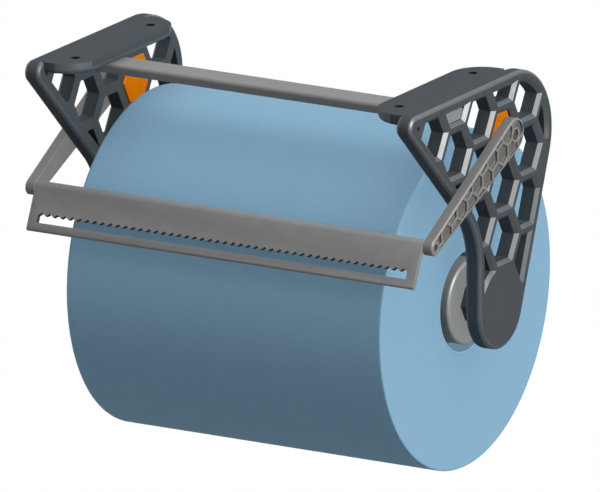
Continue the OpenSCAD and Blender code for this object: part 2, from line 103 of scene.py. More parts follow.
# %% [markdown]
# ## Helpers for nodes and colours
# Every material below is a small network of nodes. One function starts a material with no
# nodes in it, and one adds a node with its settings and its links, so that a network
# reads from top to bottom like a recipe. Colours are written as sRGB hex codes, as
# a colour picker shows them, and one function turns them into the linear values that
# shaders work with. A pattern needs a colour a little darker and a little paler than the
# one that is written, so the last function makes those.

# %% Node and colour helpers
def add(tree, kind, inputs=None, **settings):
    """Adds a node to a tree, sets its properties, and fills or links its inputs."""
    made = tree.nodes.new(kind)
    for name, value in settings.items():
        setattr(made, name, value)
    for socket, value in (inputs or {}).items():
        if isinstance(value, bpy.types.NodeSocket):
            tree.links.new(value, made.inputs[socket])
        else:
            made.inputs[socket].default_value = value
    return made


def bare_material(name):
    """A new material with an empty tree, and the tree."""
    made = bpy.data.materials.new(name)
    made.use_nodes = True
    made.node_tree.nodes.clear()
    return made, made.node_tree


def linear(code):
    """Turns an sRGB hex code into a linear colour with full alpha."""
    parts = [int(code[i:i + 2], 16) / 255 for i in (1, 3, 5)]
    return [p / 12.92 if p <= 0.04045 else ((p + 0.055) / 1.055) ** 2.4 for p in parts] + [1]


def tinted(code, factor):
    """The linear colour of a hex code, made darker or paler by a factor."""
    return [min(part * factor, 1) for part in linear(code)[:3]] + [1]


print("roll blue in linear light:", [round(part, 3) for part in linear("#87b0cb")])

# %% [markdown]
# ## Light
# The top of the roll and its right end are equally bright, and the lower front falls off
# to about a third of that, with no hard shadow anywhere. One main lamp from the upper
# right gives that balance. A very wide lamp overhead adds the soft shadows, and the
# surroundings add an even third. Together they add up to one on a surface that faces
# right or up, so a colour there renders about as it is written. Camera rays see the
# surroundings as plain white, and so do mirror rays, so that the metal parts have
# something bright to reflect. A last lamp is small and near: it hangs 17 cm above the
# shelf's level and 22 cm to the right of the right bracket, and it is seen by mirror rays
# alone. It adds the glint along the bevels that face halfway between it and the camera,
# without making any flat colour lighter. Because it is near, the glint is bright on the
# upper front cells and fades towards the lower back ones.

# %% Surroundings
AROUND = 0.31

world = bpy.data.worlds.new("soft_studio")
scene.world = world
world.use_nodes = True
sky = world.node_tree
sky.nodes.clear()
ray = add(sky, "ShaderNodeLightPath")
seen = add(sky, "ShaderNodeMath", {0: ray.outputs["Is Camera Ray"], 1: ray.outputs["Is Glossy Ray"]},
           operation="MAXIMUM")
seen = add(sky, "ShaderNodeMath", {0: seen.outputs[0], 1: ray.outputs["Is Transmission Ray"]},
           operation="MAXIMUM")
fill = add(sky, "ShaderNodeBackground", {"Color": (1, 1, 1, 1), "Strength": AROUND})
white = add(sky, "ShaderNodeBackground", {"Color": (1, 1, 1, 1), "Strength": 1.0})
either = add(sky, "ShaderNodeMixShader", {0: seen.outputs[0], 1: fill.outputs[0], 2: white.outputs[0]})
add(sky, "ShaderNodeOutputWorld", {"Surface": either.outputs[0]})
print("even light from all round:", AROUND)


# %% Lamps
# A distant lamp of strength pi lights a white surface that faces it to exactly one
LAMPS = (1 - AROUND) * math.pi
OVERHEAD_SHARE = 0.42
OVERHEAD_SPREAD = 70
SIDE_SPREAD = 24
GLINT_SPOT = Vector((340, -130, 170)) * MM
GLINT_WATTS = 14
GLINT_RADIUS = 20 * MM


def new_lamp(name, kind, power, shadow):
    """Adds a lamp to the scene."""
    light = bpy.data.lights.new(name, kind)
    light.energy = power
    light.use_shadow = shadow
    lamp = bpy.data.objects.new(name, light)
    scene.collection.objects.link(lamp)
    print(name, "has a strength of", round(power, 2))
    return lamp


def wide_lamp(name, toward, spread, shadow):
    """A distant lamp; the length of toward is its strength, and spread its angle in degrees."""
    lamp = new_lamp(name, "SUN", LAMPS * toward.length, shadow)
    lamp.data.angle = math.radians(spread)
    lamp.rotation_mode = "QUATERNION"
    lamp.rotation_quaternion = toward.to_track_quat("Z", "Y")
    return lamp


whole = Vector((1.0, -0.1, 1.0))
overhead = Vector((0.0, -0.1, 1.0)) * OVERHEAD_SHARE
wide_lamp("overhead_lamp", overhead, OVERHEAD_SPREAD, shadow=True)
side_lamp = wide_lamp("upper_right_lamp", whole - overhead, SIDE_SPREAD, shadow=False)
side_lamp.visible_glossy = False
glint = new_lamp("glint_lamp", "POINT", GLINT_WATTS, shadow=False)
glint.location = GLINT_SPOT
glint.data.shadow_soft_size = GLINT_RADIUS
glint.visible_camera = False
glint.visible_diffuse = False

# %% [markdown]
# ## Floor
# The holder hangs in the air under a shelf, so the floor lies well below it and only has
# to be a plain, pale ground. It is white where the camera looks at it. For the light that
# bounces off it, it is as bright as the surroundings, so the lower half of the roll gets
# the same even light from below as from all round.

# %% Floor
FLOOR_DROP = 520 * MM
FLOOR_HALF = 8.0

floor_mesh = bpy.data.meshes.new("studio_floor")
floor_mesh.from_pydata(
    [(x * FLOOR_HALF, y * FLOOR_HALF, -FLOOR_DROP) for x, y in ((-1, -1), (1, -1), (1, 1), (-1, 1))],
    [], [(0, 1, 2, 3)],
)
floor = bpy.data.objects.new("studio_floor", floor_mesh)
scene.collection.objects.link(floor)

# Matt white paper: an even surface that takes a soft shadow and has no shine
paint, net = bare_material("matt_white_backdrop_paper")
ray = add(net, "ShaderNodeLightPath")
shade = add(net, "ShaderNodeMix", {
    0: ray.outputs["Is Camera Ray"], 6: (AROUND, AROUND, AROUND, 1), 7: (1.0, 1.0, 1.0, 1),
}, data_type="RGBA")
matt = add(net, "ShaderNodeBsdfDiffuse", {"Color": shade.outputs[2]})
add(net, "ShaderNodeOutputMaterial", {"Surface": matt.outputs[0]})
floor_mesh.materials.append(paint)
floor.visible_shadow = False
print("floor lies", round(FLOOR_DROP / MM), "mm below the shelf")


# %% [markdown]
# ## Printed plastic
# The brackets, bars, arms and hubs are the kind of parts that a desktop printer makes
# from PETG, a plastic with an IOR near 1.57. It is laid down in layers 0.2 mm high, which
# show as fine parallel lines on every wall that stands up from the print bed, and not on
# the faces that lay flat on it. So the lines are bands along one axis, the direction in
# which the piece grew on the printer. The real lines are too fine for a picture at half a
# millimetre per pixel, so they are drawn 0.8 mm apart. A flat face has taken on the bed's
# fine texture and is nearly matt. A bevel or a rounded edge is drawn in one smooth pass
# of the nozzle and shines, so each colour comes as a matt face and as a satin edge.

# %% Printed plastic
LAYER = 0.8 * MM
LAYER_RELIEF = 0.05 * MM
MOTTLE = 9 * MM
GRAIN = 0.9 * MM
# One band of Blender's wave texture is 2 pi / 20 units long at scale 1
WAVE_BAND = math.tau / 20


def printed_plastic(name, code, grew_along, rough, shine):
    """Printed plastic with its layers stacked along one axis."""
    made, net = bare_material(name)
    place = add(net, "ShaderNodeTexCoord").outputs["Object"]
    lines = add(net, "ShaderNodeTexWave", {
        "Vector": place, "Scale": WAVE_BAND / LAYER, "Distortion": 0.4,
        "Detail": 2.0, "Detail Scale": 0.6,
    }, wave_type="BANDS", bands_direction=grew_along)
    # Slow mottling varies the colour and the gloss; fine grain comes from the bed's texture
    mottle = add(net, "ShaderNodeTexNoise", {
        "Vector": place, "Scale": 1 / MOTTLE, "Detail": 4.0,
    })
    grain = add(net, "ShaderNodeTexNoise", {
        "Vector": place, "Scale": 1 / GRAIN, "Detail": 2.0,
    })
    tint = add(net, "ShaderNodeMix", {
        0: mottle.outputs[0], 6: tinted(code, 0.9), 7: tinted(code, 1.1),
    }, data_type="RGBA")
    worn = add(net, "ShaderNodeMapRange", {
        0: mottle.outputs[0], "To Min": rough - 0.06, "To Max": rough + 0.08,
    })
    relief = add(net, "ShaderNodeMath", {0: lines.outputs["Fac"], 1: 0.75, 2: grain.outputs[0]},
                 operation="MULTIPLY_ADD")
    bump = add(net, "ShaderNodeBump", {
        "Height": relief.outputs[0], "Strength": 0.35, "Distance": LAYER_RELIEF,
    })
    skin = add(net, "ShaderNodeBsdfPrincipled", {
        "Base Color": tint.outputs[2], "Roughness": worn.outputs[0], "IOR": 1.57,
        "Specular IOR Level": shine, "Normal": bump.outputs[0],
    })
    add(net, "ShaderNodeOutputMaterial", {"Surface": skin.outputs[0]})
    return made


def matt_and_satin(name, code, edge_shine=0.6):
    """The two finishes of one printed colour: its flat faces and its edges."""
    return [printed_plastic(name + "_matt_face", code, "X", rough=0.7, shine=0.02),
            printed_plastic(name + "_satin_edge", code, "X", rough=0.5, shine=edge_shine)]


# %% Printed colours
# The plates were printed lying on their side, so their layers stack across the holder
slate_petg = matt_and_satin("slate_petg", "#4a5054")
# The arms lay on their inner face, with the pockets up
grey_petg = matt_and_satin("grey_petg", "#82817f")
# The hubs' grey is painted paler than their own, as painted light where the plates keep light from them
hub_lightened_petg = matt_and_satin("hub_grey_petg_painted_paler", "#969696", edge_shine=1.0)
# The orange plugs are cut flush and rubbed down, so their edges shine less
orange_petg = matt_and_satin("orange_petg", "#d47604", edge_shine=0.2)
# The crossbar and the tear bar were printed lying on their backs
bar_petg = printed_plastic("grey_petg_bar", "#8b8b8b", "Z", rough=0.6, shine=0.06)
# The floors of the arms' pockets are rough inside layers; their darker grey is painted shade
pocket_shade_petg = printed_plastic("grey_petg_pocket_painted_shade", "#6d6b68", "X", rough=0.8, shine=0.02)
# Walls of holes and slots show open, rough layers; their darker colour is painted shade
bore_shade_petg = printed_plastic("slate_petg_bore_painted_shade", "#202326", "Z", rough=0.85, shine=0.02)
slot_shade_petg = printed_plastic("grey_petg_slot_painted_shade", "#4b4a49", "Z", rough=0.85, shine=0.02)
single_petg = [bar_petg, pocket_shade_petg, bore_shade_petg, slot_shade_petg]
print("printed finishes:", len(slate_petg + grey_petg + hub_lightened_petg + orange_petg + single_petg))

# %% [markdown]
# ## Paper and card
# Wiping paper is soft, matt and dyed through. Its face is creped: fine cross ridges,
# about a millimetre apart, run along the roll's axis. On the ends of the roll hundreds
# of cut edges lie side by side, and they show as fine rings of slightly different
# blue. The rings follow the distance from the roll's axis, so they are worked out from
# the Y and Z of each point and need no drawing.

# %% Paper
def middle_and_radius(node):
    """The middle of an engineering node's box and half the box's height."""
    low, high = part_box(node)
    return (low + high) / 2, (high.z - low.z) / 2


AXIS, ROLL_R = middle_and_radius("paper_roll")
ROLL_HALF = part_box("paper_roll")[1].x
PAPER_RELIEF = 0.12 * MM
# The crepe changes this much more slowly along the axis than round it, which draws ridges
ALONG_SHARE = 0.12


def wound_paper(name, code, ply, crepe):
    """Creped paper wound on the roll's axis: rings on the ends, ridges on the face."""
    made, net = bare_material(name)
    place = add(net, "ShaderNodeTexCoord").outputs["Object"]
    centred = add(net, "ShaderNodeMapping", {"Vector": place, "Location": -AXIS})
    flat = add(net, "ShaderNodeVectorMath", {0: centred.outputs[0], 1: (0, 1, 1)}, operation="MULTIPLY")
    radius = add(net, "ShaderNodeVectorMath", {0: flat.outputs[0]}, operation="LENGTH")
    apart = add(net, "ShaderNodeSeparateXYZ", {0: centred.outputs[0]})
    # Each ply has its own shade: noise that only changes with the distance from the axis
    ring = add(net, "ShaderNodeTexNoise", {
        "W": radius.outputs["Value"], "Scale": 1 / ply, "Detail": 3.0, "Roughness": 0.7,
    }, noise_dimensions="1D")
    # Ridges of the crepe run along the axis, so they change with the angle round it
    angle = add(net, "ShaderNodeMath", {0: apart.outputs["Z"], 1: apart.outputs["Y"]}, operation="ARCTAN2")
    turn = add(net, "ShaderNodeMath", {0: angle.outputs[0], 1: ROLL_R / crepe}, operation="MULTIPLY")
    along = add(net, "ShaderNodeMath", {0: apart.outputs["X"], 1: ALONG_SHARE / crepe},
                operation="MULTIPLY")
    sheet = add(net, "ShaderNodeCombineXYZ", {0: turn.outputs[0], 1: along.outputs[0]})
    ridge = add(net, "ShaderNodeTexNoise", {
        "Vector": sheet.outputs[0], "Scale": 1.0, "Detail": 3.0, "Roughness": 0.6,
    }, noise_dimensions="2D")
    # The ends face along X and show cut plies; the rest shows the creped face
    facing = add(net, "ShaderNodeNewGeometry")
    normal = add(net, "ShaderNodeSeparateXYZ", {0: facing.outputs["True Normal"]})
    sideways = add(net, "ShaderNodeMath", {0: normal.outputs["X"]}, operation="ABSOLUTE")
    cut = add(net, "ShaderNodeMath", {0: sideways.outputs[0], 1: 0.5}, operation="GREATER_THAN")
    relief = add(net, "ShaderNodeMix", {0: cut.outputs[0], 2: ridge.outputs[0], 3: ring.outputs[0]})
    tint = add(net, "ShaderNodeMix", {
        0: relief.outputs[0], 6: tinted(code, 0.92), 7: tinted(code, 1.06),
    }, data_type="RGBA")
    bump = add(net, "ShaderNodeBump", {
        "Height": relief.outputs[0], "Strength": 0.3, "Distance": PAPER_RELIEF,
    })
    skin = add(net, "ShaderNodeBsdfPrincipled", {
        "Base Color": tint.outputs[2], "Roughness": 0.95, "IOR": 1.45, "Specular IOR Level": 0.06,
        "Sheen Weight": 0.04, "Sheen Roughness": 0.6, "Normal": bump.outputs[0],
    })
    add(net, "ShaderNodeOutputMaterial", {"Surface": skin.outputs[0]})
    return made


# A ply is a few hundredths of a millimetre; groups of plies show as rings of about 1 mm
blue_tissue = wound_paper("blue_creped_tissue", "#87b0cb", ply=1.1 * MM, crepe=1.2 * MM)
# The core is spiral-wound card of the same blue, smoother and with wider windings; its blue is painted a
# little paler, as painted light inside the core
blue_card_lightened = wound_paper("blue_spiral_card_painted_paler", "#8db6d0", ply=0.5 * MM, crepe=2.5 * MM)
print("roll:", round(2 * ROLL_R / MM, 1), "mm across,", round(2 * ROLL_HALF / MM, 1), "mm wide")


# %% [markdown]
# ## Metals
# The small fixings are bought parts: zinc-plated steel screws and washers, turned
# aluminium spacers and knurled brass inserts. A metal has no colour of its own under its
# reflection, so it is metallic 1 and its colour is the colour of its highlights. Turning
# leaves fine rings round the axis, which all run along X here.

# %% Metals
TOOL_RELIEF = 0.02 * MM
FILM = 2 * MM


def turned_metal(name, code, rough, ring):
    """Turned or plated metal with fine tool rings, a real size apart, along X."""
    made, net = bare_material(name)
    place = add(net, "ShaderNodeTexCoord").outputs["Object"]
    rings = add(net, "ShaderNodeTexWave", {
        "Vector": place, "Scale": WAVE_BAND / ring, "Distortion": 0.6, "Detail": 2.0,
    }, wave_type="BANDS", bands_direction="X")
    # A thin film of oil and air dulls the metal in patches
    film = add(net, "ShaderNodeTexNoise", {"Vector": place, "Scale": 1 / FILM})
    worn = add(net, "ShaderNodeMapRange", {
        0: film.outputs[0], "To Min": rough - 0.08, "To Max": rough + 0.1,
    })
    tint = add(net, "ShaderNodeMix", {
        0: film.outputs[0], 6: tinted(code, 0.88), 7: linear(code),
    }, data_type="RGBA")
    bump = add(net, "ShaderNodeBump", {
        "Height": rings.outputs["Fac"], "Strength": 0.25, "Distance": TOOL_RELIEF,
    })
    skin = add(net, "ShaderNodeBsdfPrincipled", {
        "Base Color": tint.outputs[2], "Metallic": 1.0, "Roughness": worn.outputs[0],
        "Normal": bump.outputs[0],
    })
    add(net, "ShaderNodeOutputMaterial", {"Surface": skin.outputs[0]})
    return made


# Zinc plating is bluish grey and half matt
zinc_steel = turned_metal("zinc_plated_steel", "#7c7e80", rough=0.45, ring=0.3 * MM)
# Turned aluminium is paler, with visible tool rings
turned_aluminium = turned_metal("turned_aluminium", "#c4c6c8", rough=0.32, ring=0.25 * MM)
# Brass inserts are warm yellow and fairly bright
knurled_brass = turned_metal("knurled_brass", "#c9a35a", rough=0.35, ring=0.4 * MM)
print("metals:", [m.name for m in (zinc_steel, turned_aluminium, knurled_brass)])

# %% [markdown]
# ## Placing finished pieces
# Each finished piece takes the place of an engineering node: it hides that node and
# moves with the same body. The body is in the engineering record, so one function looks
# it up and no piece can be put on the wrong body by a slip of the hand. Another function
# turns an object with modifiers into a plain mesh, with its faces pointing outwards.

# %% Who moves with whom
body_of = {node: body for body, nodes in frame["record"]["behaviour"]["bodies"].items() for node in nodes}


def stands_for(piece, node):
    """Lets a finished piece stand for an engineering node."""
    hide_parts(node)
    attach(piece, body_of[node])
    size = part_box(node)[1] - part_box(node)[0]
    print(piece.name, "for", node, "on", body_of[node], [round(side / MM, 1) for side in size],
          len(piece.data.polygons), "faces")


def plain_mesh(source, name, finishes):
    """Turns an object with modifiers into a plain mesh object at the origin."""
    bpy.context.view_layer.update()
    ready = source.evaluated_get(bpy.context.evaluated_depsgraph_get())
    mesh = bpy.data.meshes.new_from_object(ready)
    mesh.name = name
    mesh.materials.clear()
    for finish in finishes:
        mesh.materials.append(finish)
    work = bmesh.new()
    work.from_mesh(mesh)
    bmesh.ops.recalc_face_normals(work, faces=work.faces)
    work.to_mesh(mesh)
    work.free()
    piece = bpy.data.objects.new(name, mesh)
    scene.collection.objects.link(piece)
    bpy.data.objects.remove(source)
    return piece


print("bodies:", sorted(set(body_of.values())))

# %% [markdown]
# ## Pieces with soft edges
# An engineering edge is a mathematical line, and no real edge is: a printed corner is
# rounded by about the width of the nozzle. That tiny round is what catches the light. So
# the plates, bars, arms, plugs and hubs start from a copy of their engineering mesh. The
# copy's loose triangles are merged, flat areas become whole faces again, a small bevel
# rounds the sharp edges, and weighted normals keep the large faces flat. An edge may be
# given more or less than the full bevel by its weight. At the end the faces that lie
# askew to X, which are the bevels and rounded edges, get the satin finish.

# %% Soft edges
# Points closer than this are one point, and edges that bend less than this are none
MERGE = 0.002 * MM
FLAT_ENOUGH = math.radians(0.5)
SHARP_EDGE = math.radians(34)
# A bevel's normal has an X part between these two
ASKEW = (0.2, 0.975)


def soften(node, name, finishes, edge, weigh_edges=None, clamp=False):
    """A copy of an engineering node with its sharp edges rounded by a real radius."""
    mesh = frame["nodes"][node].data.copy()
    work = bmesh.new()
    work.from_mesh(mesh)
    bmesh.ops.remove_doubles(work, verts=work.verts, dist=MERGE)
    bmesh.ops.dissolve_limit(work, angle_limit=FLAT_ENOUGH, verts=work.verts, edges=work.edges)
    bmesh.ops.recalc_face_normals(work, faces=work.faces)
    weight = work.edges.layers.float.new("bevel_weight_edge")
    sharp = [e for e in work.edges if len(e.link_faces) == 2 and e.calc_face_angle(0) > SHARP_EDGE]
    for rim in sharp:
        rim[weight] = weigh_edges(rim) if weigh_edges else 1.0
    work.to_mesh(mesh)
    work.free()
    mesh.shade_smooth()
    source = bpy.data.objects.new(name + "_rough", mesh)
    scene.collection.objects.link(source)
    bevel = source.modifiers.new("edge", "BEVEL")
    bevel.width = edge
    bevel.segments = 2
    bevel.limit_method = "WEIGHT"
    bevel.use_clamp_overlap = clamp
    flat = source.modifiers.new("weigh", "WEIGHTED_NORMAL")
    flat.weight = 80
    piece = plain_mesh(source, name, finishes)
    for face in piece.data.polygons:
        if len(finishes) > 1 and ASKEW[0] < abs(face.normal.x) < ASKEW[1]:
            face.material_index = 1
    stands_for(piece, node)
    return piece


print("edges get a bevel where they turn by more than", round(math.degrees(SHARP_EDGE)), "degrees")

# %% [markdown]
# ### Brackets, crossbar, plugs and hubs
# The brackets are the main printed parts. Their honeycomb is open, so each cell's edge
# is seen from inside and outside, and its wide outer bevel is a satin strip that glints
# where it faces the light. The plugs and hubs glint along their rims in the same way.
# The plates have a few very short edges, so their bevel is clamped, which keeps its
# strips from crossing. The walls of the four screw holes get a darker colour, which is
# painted shade. The record of the mounts says where they are.

# %% Frame pieces
NOZZLE = 0.4 * MM
PLATE_EDGE = 0.3 * MM
PLUG_EDGE = 0.25 * MM
HUB_EDGE = 0.3 * MM
# How far a face may lie from the place where it is looked for
SLACK = 0.1 * MM

screws = next(mount["dims"] for mount in frame["record"]["mounts"] if mount["name"] == "shelf_screws")


def from_screw(spot):
    """How far a point lies from the middle line of its nearest shelf screw."""
    return math.hypot(abs(spot.x) - screws["spacing_x_mm"] / 2 * MM,
                      abs(spot.y) - screws["spacing_y_mm"] / 2 * MM)


for side in ("left", "right"):
    plate = soften(side + "_bracket", side + "_honeycomb_plate", slate_petg + [bore_shade_petg], PLATE_EDGE,
                   clamp=True)
    # The walls of the screw holes take the darker colour, which is painted shade
    for face in plate.data.polygons:
        if abs(face.normal.z) < 0.3 and from_screw(face.center) < screws["hole_r_mm"] * MM + SLACK:
            face.material_index = 2
    soften(side + "_pivot_plug", side + "_orange_plug", orange_petg, PLUG_EDGE)
    # The hubs' paler grey is painted light
    soften(side + "_hub", side + "_roll_hub", hub_lightened_petg, HUB_EDGE)
soften("crossbar", "hexagonal_crossbar", [bar_petg], NOZZLE)

# %% [markdown]
# ### Swing arms
# The outer edge of an arm is clearly rounded, by almost a millimetre, while the edges of
# its pockets are crisp. Both are bevels on the same piece, so their widths are set by
# weight: an edge of the outer face, next to a wall as high as the whole arm, gets all of
# it, and any other sharp edge gets a quarter. The floors and walls of the pockets lie a
# little below the arm's face and get a darker grey, which is painted shade.

# %% Arms
ARM_EDGE = 0.9 * MM
POCKET_EDGE_SHARE = 0.25
# Faces this far below the arm's own face belong to its pockets
POCKET_FROM = 0.3 * MM
POCKET_DEPTH = 1.6 * MM
# Only the arm's outer wall is higher than this
OUTER_WALL = 5 * MM
ARM_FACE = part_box("right_arm")[1].x


def arm_weight(rim):
    """The full bevel for an arm's outer edge and a quarter for its pockets and holes."""
    spans = [max(v.co.x for v in face.verts) - min(v.co.x for v in face.verts) for face in rim.link_faces]
    outside = all(abs(v.co.x) > ARM_FACE - SLACK for v in rim.verts)
    return 1.0 if outside and max(spans) > OUTER_WALL else POCKET_EDGE_SHARE


for side in ("left", "right"):
    arm = soften(side + "_arm", side + "_swing_arm", grey_petg + [pocket_shade_petg], ARM_EDGE, arm_weight)
    # The pockets' floors and walls take the darker grey, which is painted shade
    for face in arm.data.polygons:
        depth = ARM_FACE - abs(face.center.x)
        in_pocket = POCKET_FROM < depth < POCKET_DEPTH + SLACK
        if in_pocket and not ASKEW[0] < abs(face.normal.x) < ASKEW[1]:
            face.material_index = 2

# %% [markdown]
# ## Turned and wound pieces
# A roll of paper, its card core, the rings, spacers, washers, inserts and screws are all
# the same kind of shape: an outline that goes round an axis. They could be cylinders with
# edits, a Screw modifier or a Spin in edit mode. Here one Geometry Nodes tree is the
# lathe for all of them. Its input is an outline, a row of points with their place along X
# and their radius. The tree makes a grid with one column for each step round the axis,
# looks up the outline's point for each row, and bends the grid round until its first and
# last columns meet. Some extras are settings of the same tree: every other column can be
# cut in for a knurl, every row of the roll's ends can lie a little deeper at random, as
# wound plies do, a six-sided key can be cut out of a screw's head, and a mirrored copy
# makes the same piece for the other side.

# %% Lathe tree: a grid that follows the outline
def new_tree(name, sockets):
    """A Geometry Nodes tree with a named input for each size."""
    tree = bpy.data.node_groups.new(name, "GeometryNodeTree")
    tree.is_modifier = True
    for label, kind in sockets.items():
        tree.interface.new_socket(name=label, in_out="INPUT", socket_type="NodeSocket" + kind)
    tree.interface.new_socket(name="Geometry", in_out="OUTPUT", socket_type="NodeSocketGeometry")
    return tree


def finish_tree(tree, shape, material):
    """Ends a tree with real geometry that has its material."""
    real = add(tree, "GeometryNodeRealizeInstances", {0: shape})
    dressed = add(tree, "GeometryNodeSetMaterial", {"Geometry": real.outputs[0], "Material": material})
    add(tree, "NodeGroupOutput", {0: dressed.outputs[0]})


lathe = new_tree("lathe", {
    "Outline": "Geometry", "Around": "Int", "Axis": "Vector", "Ply Relief": "Float", "Seed": "Int",
    "Knurl": "Float", "Knurl From": "Float", "Key Width": "Float", "Key Depth": "Float",
    "Key Face": "Float", "Both Sides": "Bool", "Finish": "Material",
})
given = add(lathe, "NodeGroupInput").outputs

# A grid with a row for each point of the outline and a column for each step round
rows = add(lathe, "GeometryNodeAttributeDomainSize", {0: given["Outline"]}).outputs[0]
columns = add(lathe, "FunctionNodeIntegerMath", {0: given["Around"], 1: 1}, operation="ADD").outputs[0]
grid = add(lathe, "GeometryNodeMeshGrid", {"Vertices X": columns, "Vertices Y": rows}).outputs[0]
index = add(lathe, "GeometryNodeInputIndex").outputs[0]
row = add(lathe, "FunctionNodeIntegerMath", {0: index, 1: rows}, operation="MODULO").outputs[0]
column = add(lathe, "FunctionNodeIntegerMath", {0: index, 1: rows}, operation="DIVIDE_FLOOR").outputs[0]

# The outline's point for this row: X is its place along the axis, Y its radius
place = add(lathe, "GeometryNodeInputPosition").outputs[0]
point = add(lathe, "GeometryNodeSampleIndex", {"Geometry": given["Outline"], "Value": place, "Index": row},
            data_type="FLOAT_VECTOR").outputs[0]
part = add(lathe, "ShaderNodeSeparateXYZ", {0: point}).outputs
print("lathe inputs:", [item.name for item in lathe.interface.items_tree if item.in_out == "INPUT"])

# %% Lathe tree: plies, knurl and the bend round the axis
# Plies: each row slides towards the middle by its own random share of the relief
deep = add(lathe, "FunctionNodeRandomValue", {3: given["Ply Relief"], "ID": row, "Seed": given["Seed"]},
           data_type="FLOAT").outputs[1]
side_of = add(lathe, "ShaderNodeMath", {0: part["X"]}, operation="SIGN").outputs[0]
slide = add(lathe, "ShaderNodeMath", {0: deep, 1: side_of}, operation="MULTIPLY").outputs[0]
along = add(lathe, "ShaderNodeMath", {0: part["X"], 1: slide}, operation="SUBTRACT").outputs[0]

# Knurl: every other column is cut in, but only on the widest part
odd = add(lathe, "FunctionNodeIntegerMath", {0: column, 1: 2}, operation="MODULO").outputs[0]
wide = add(lathe, "ShaderNodeMath", {0: part["Y"], 1: given["Knurl From"]},
           operation="GREATER_THAN").outputs[0]
cut = add(lathe, "ShaderNodeMath", {0: odd, 1: wide}, operation="MULTIPLY").outputs[0]
cut = add(lathe, "ShaderNodeMath", {0: cut, 1: given["Knurl"]}, operation="MULTIPLY").outputs[0]
radius = add(lathe, "ShaderNodeMath", {0: part["Y"], 1: cut}, operation="SUBTRACT").outputs[0]

# Bend the grid round the axis and close its seam and its poles
share = add(lathe, "ShaderNodeMath", {0: column, 1: given["Around"]}, operation="DIVIDE").outputs[0]
angle = add(lathe, "ShaderNodeMath", {0: share, 1: math.tau}, operation="MULTIPLY").outputs[0]
cosine = add(lathe, "ShaderNodeMath", {0: angle}, operation="COSINE").outputs[0]
sine = add(lathe, "ShaderNodeMath", {0: angle}, operation="SINE").outputs[0]
out_y = add(lathe, "ShaderNodeMath", {0: radius, 1: cosine}, operation="MULTIPLY").outputs[0]
out_z = add(lathe, "ShaderNodeMath", {0: radius, 1: sine}, operation="MULTIPLY").outputs[0]
spot = add(lathe, "ShaderNodeCombineXYZ", {0: along, 1: out_y, 2: out_z}).outputs[0]
spot = add(lathe, "ShaderNodeVectorMath", {0: spot, 1: given["Axis"]}, operation="ADD").outputs[0]
round_body = add(lathe, "GeometryNodeSetPosition", {"Geometry": grid, "Position": spot}).outputs[0]
round_body = add(lathe, "GeometryNodeMergeByDistance", {
    "Geometry": round_body, "Distance": MERGE,
}).outputs[0]
print("lathe tree so far:", len(lathe.nodes), "nodes")

# %% Lathe tree: key socket and mirrored copy
# The key's socket: a six-sided prism on the axis, cut out of the head. Its width is from
# flat to flat, and its corners lie further out
corner = add(lathe, "ShaderNodeMath", {0: given["Key Width"], 1: 2 * math.cos(math.radians(30))},
             operation="DIVIDE").outputs[0]
length = add(lathe, "ShaderNodeMath", {0: given["Key Depth"], 1: 2}, operation="MULTIPLY").outputs[0]
key = add(lathe, "GeometryNodeMeshCylinder", {"Vertices": 6, "Radius": corner, "Depth": length}).outputs[0]
key_x = add(lathe, "ShaderNodeCombineXYZ", {0: given["Key Face"]}).outputs[0]
key_spot = add(lathe, "ShaderNodeVectorMath", {0: key_x, 1: given["Axis"]}, operation="ADD").outputs[0]
key = add(lathe, "GeometryNodeTransform", {
    "Geometry": key, "Translation": key_spot, "Rotation": (0, math.radians(90), 0),
}).outputs[0]
socketed = add(lathe, "GeometryNodeMeshBoolean", {0: round_body, 1: key},
               operation="DIFFERENCE", solver="EXACT").outputs[0]
has_key = add(lathe, "FunctionNodeCompare", {0: given["Key Width"], 1: 0.0}, data_type="FLOAT",
              operation="GREATER_THAN").outputs[0]
one_side = add(lathe, "GeometryNodeSwitch", {"Switch": has_key, "False": round_body, "True": socketed},
               input_type="GEOMETRY").outputs[0]

# A mirrored copy for the other side
mirrored = add(lathe, "GeometryNodeTransform", {"Geometry": one_side, "Scale": (-1, 1, 1)}).outputs[0]
both = add(lathe, "GeometryNodeJoinGeometry", {0: one_side})
lathe.links.new(mirrored, both.inputs[0])
shape = add(lathe, "GeometryNodeSwitch", {
    "Switch": given["Both Sides"], "False": one_side, "True": both.outputs[0],
}, input_type="GEOMETRY").outputs[0]
finish_tree(lathe, shape, given["Finish"])
print("lathe tree:", len(lathe.nodes), "nodes")


# %% [markdown]
# ### Using the lathe
# An outline is a short list of points, each with its place along X and its radius. It
# becomes the bare points of a mesh, and the lathe is put on as a modifier. A modifier
# knows its inputs only by their identifiers, so a small function looks those up by name.

# %% Using the lathe
# Shading splits at edges that turn by more than this
CREASE = math.radians(35)


def set_inputs(modifier, values):
    """Sets a modifier's inputs by name."""
    known = {item.name: item.identifier for item in modifier.node_group.interface.items_tree
             if item.in_out == "INPUT"}
    for name, value in values.items():
        modifier[known[name]] = value


